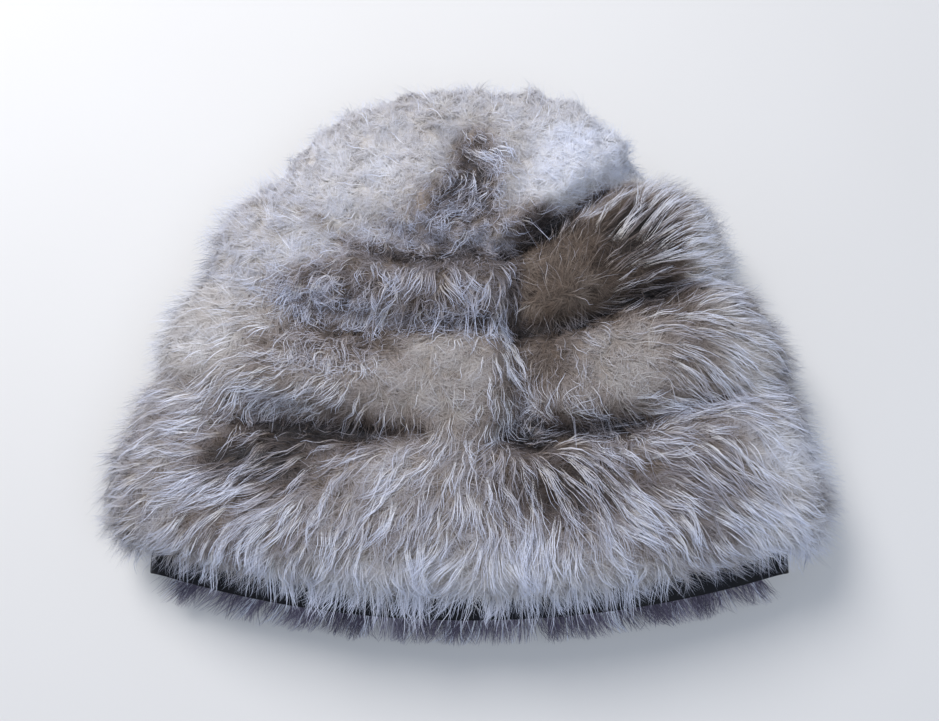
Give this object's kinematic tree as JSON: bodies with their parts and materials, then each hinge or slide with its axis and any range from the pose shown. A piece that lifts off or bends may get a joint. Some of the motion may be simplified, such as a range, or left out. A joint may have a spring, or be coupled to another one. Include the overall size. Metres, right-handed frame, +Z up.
{
  "type": "shaggy sheepskin hat",
  "caption": "Tall hat of long-haired sheepskin lying flat on its side: stacked tiers of pelt narrowing to a domed crown, a bound mouth and an open hollow for the head.",
  "frame": {"origin": "on the plane that the hat lies on, below the middle of the whole hat", "axes": "+X across the hat to the viewer's right, +Y from the mouth to the crown, +Z up, through the flattened hat's thickness"},
  "size_m": [0.344, 0.2718, 0.0736],
  "materials": {
    "crown_fleece": "cream and white wool with grey-brown parting, on pale leather",
    "pale_fleece": "fawn and white wool, grey curls at the seam",
    "dark_fleece": "dark brown wool with white streaks",
    "middle_fleece": "fawn wool with brown and white locks",
    "lower_fleece": "long wavy locks, brown to blue-white",
    "binding": "black, soft sheen"
  },
  "bodies": {
    "root": {"crown_cap": "crown_fleece", "upper_band_left": "pale_fleece", "upper_band_right": "dark_fleece", "middle_band_left": "middle_fleece", "middle_band_right": "middle_fleece", "lower_band": "lower_fleece", "hem_binding": "binding"}
  },
  "joints": []
}
